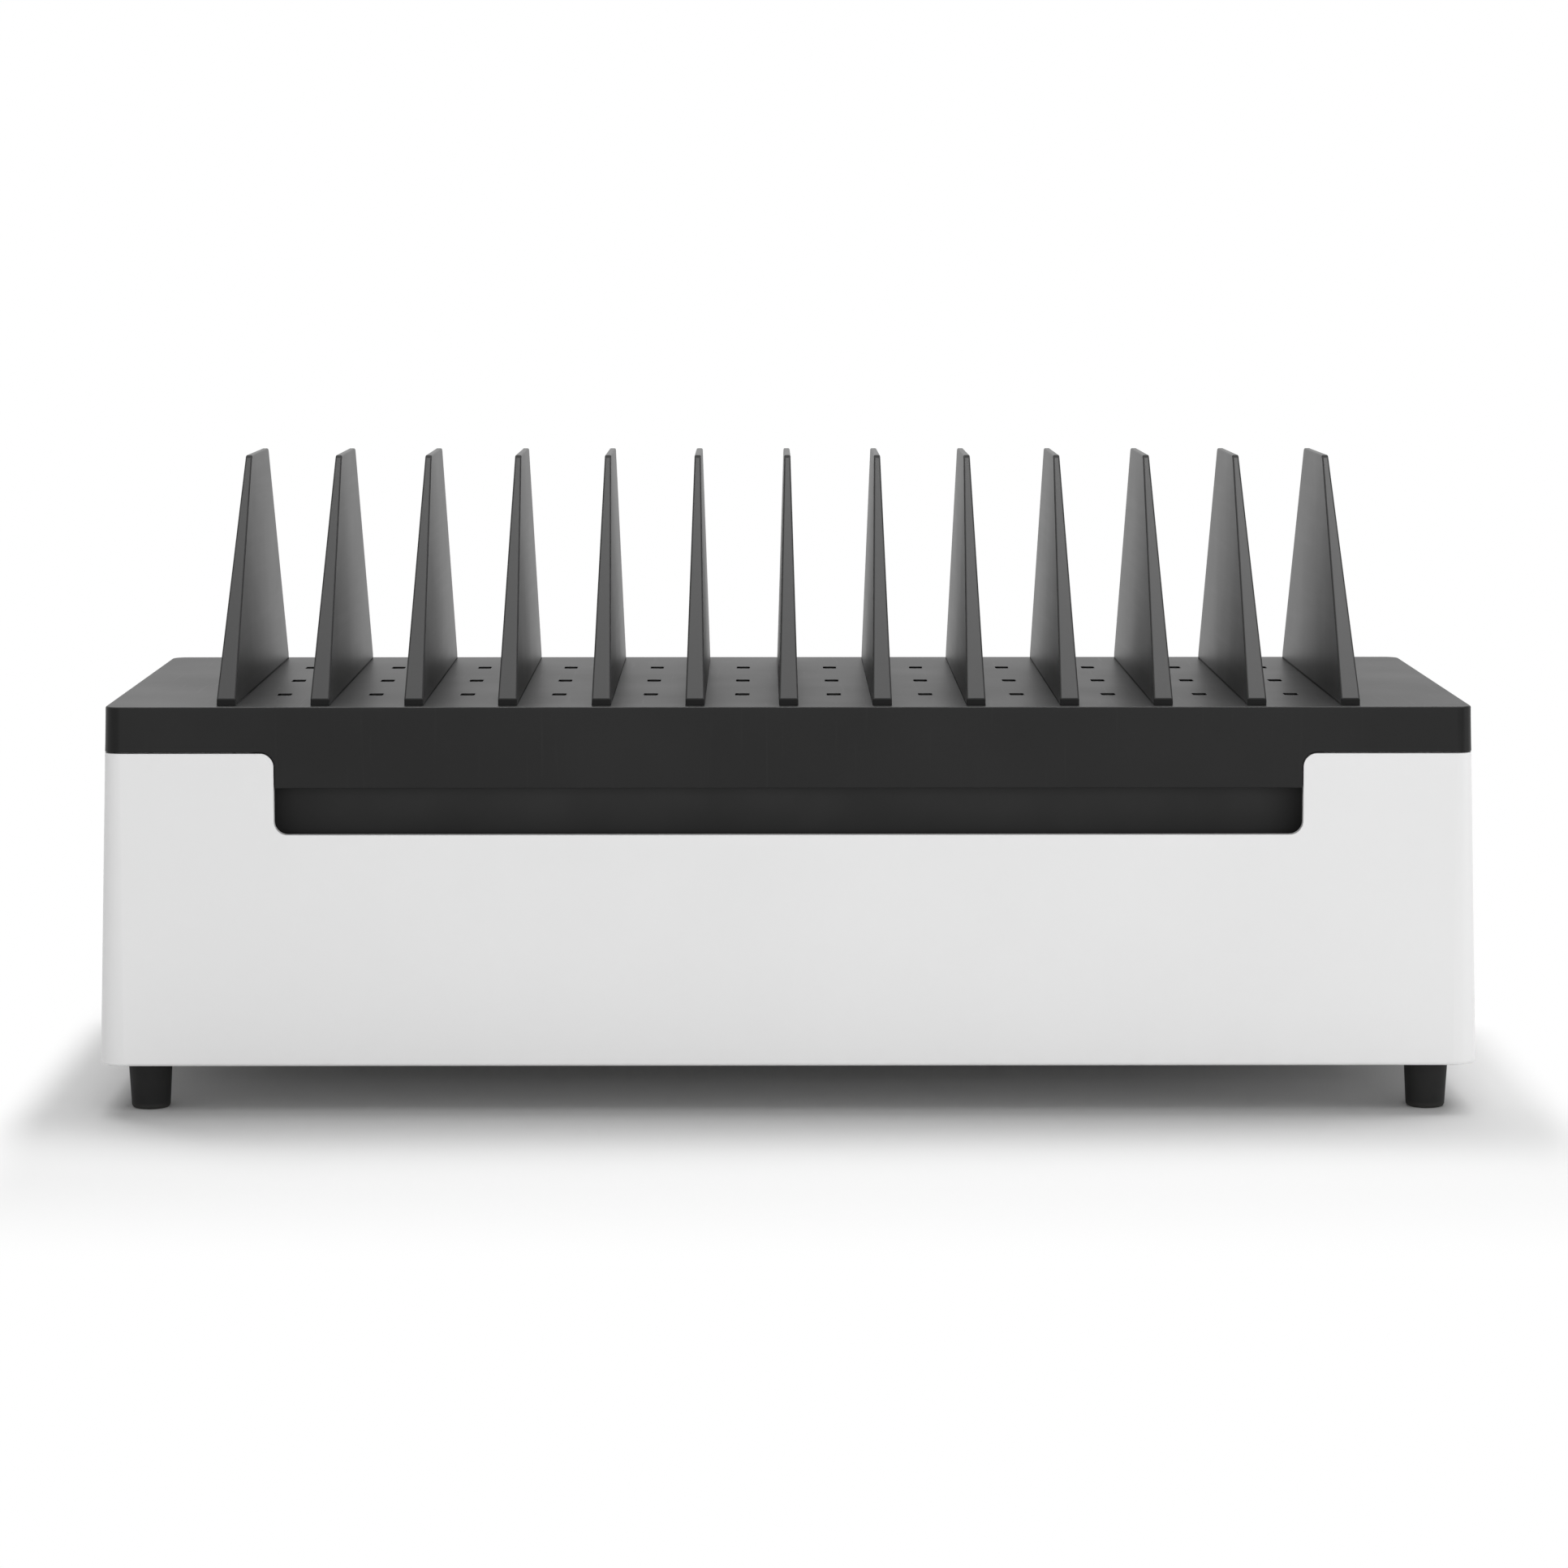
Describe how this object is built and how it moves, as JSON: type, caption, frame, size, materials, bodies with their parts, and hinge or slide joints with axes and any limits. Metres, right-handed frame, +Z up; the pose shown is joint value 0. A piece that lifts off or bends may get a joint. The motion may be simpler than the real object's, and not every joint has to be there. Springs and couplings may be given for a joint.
{
  "type": "desktop charging station",
  "caption": "Low white charging station with a hinged black lid whose upright dividers hold devices on edge, with ports, supply and mains inlet inside.",
  "frame": {"origin": "on the floor under the middle of the object", "axes": "+X to the right as seen from the front, +Y to the rear, +Z up"},
  "size_m": [0.444, 0.182, 0.2079],
  "materials": {
    "white_shell": "satin, very finely textured",
    "black_shell": "fine matte texture",
    "divider_plastic": "satin",
    "foot_rubber": "matte",
    "zinc_steel": "zinc plated",
    "nickel_shell": "nickel plated sheet",
    "contact_plastic": "moulded",
    "circuit_board": "green solder mask",
    "terminal_plastic": "moulded",
    "supply_metal": "folded sheet",
    "winding_tape": "yellow tape",
    "capacitor_sleeve": "shrunk sleeve",
    "inlet_plastic": "moulded",
    "contact_brass": "stamped strip",
    "rocker_plastic": "polished",
    "blue_insulation": "extruded",
    "green_insulation": "extruded",
    "brown_insulation": "extruded",
    "black_insulation": "extruded",
    "red_insulation": "extruded"
  },
  "bodies": {
    "base": {"housing": "white_shell", "cable_trough": "black_shell", "electronics_cover": "black_shell", "foot_front_left": "foot_rubber", "foot_front_right": "foot_rubber", "foot_rear_left": "foot_rubber", "foot_rear_right": "foot_rubber", "foot_screws": "zinc_steel", "post_screws": "zinc_steel", "supply_screws": "zinc_steel", "inlet_screws": "zinc_steel", "hinge_pin_left": "zinc_steel", "hinge_pin_right": "zinc_steel", "usb_port_01": "nickel_shell", "usb_port_02": "nickel_shell", "usb_port_03": "nickel_shell", "usb_port_04": "nickel_shell", "usb_port_05": "nickel_shell", "usb_port_06": "nickel_shell", "usb_port_07": "nickel_shell", "usb_port_08": "nickel_shell", "usb_port_09": "nickel_shell", "usb_port_10": "nickel_shell", "usb_port_11": "nickel_shell", "usb_port_12": "nickel_shell", "usb_tongues": "contact_plastic", "usb_board": "circuit_board", "supply_board": "circuit_board", "board_terminal": "terminal_plastic", "supply_terminals": "terminal_plastic", "supply_tray": "supply_metal", "supply_cover": "supply_metal", "supply_transformer": "winding_tape", "supply_capacitors": "capacitor_sleeve", "power_inlet": "inlet_plastic", "switch_frame": "inlet_plastic", "inlet_blades": "contact_brass", "switch_contacts": "contact_brass", "neutral_wire": "blue_insulation", "earth_wire": "green_insulation", "live_in_wire": "brown_insulation", "live_out_wire": "brown_insulation", "charge_negative_wire": "black_insulation", "charge_positive_wire": "red_insulation"},
    "lid": {"lid": "black_shell", "divider_01": "divider_plastic", "divider_02": "divider_plastic", "divider_03": "divider_plastic", "divider_04": "divider_plastic", "divider_05": "divider_plastic", "divider_06": "divider_plastic", "divider_07": "divider_plastic", "divider_08": "divider_plastic", "divider_09": "divider_plastic", "divider_10": "divider_plastic", "divider_11": "divider_plastic", "divider_12": "divider_plastic", "divider_13": "divider_plastic", "divider_screws": "zinc_steel"},
    "rocker": {"power_rocker": "rocker_plastic"}
  },
  "joints": [
    {"name": "lid_hinge", "type": "hinge", "parent": "base", "child": "lid", "pos_m": [0, 0.08795, 0.1167], "axis": [-1, 0, 0], "range_deg": [0, 95]},
    {"name": "power_switch", "type": "hinge", "parent": "base", "child": "rocker", "pos_m": [0.17, 0.083, 0.043], "axis": [1, 0, 0], "range_deg": [0, 24]}
  ]
}
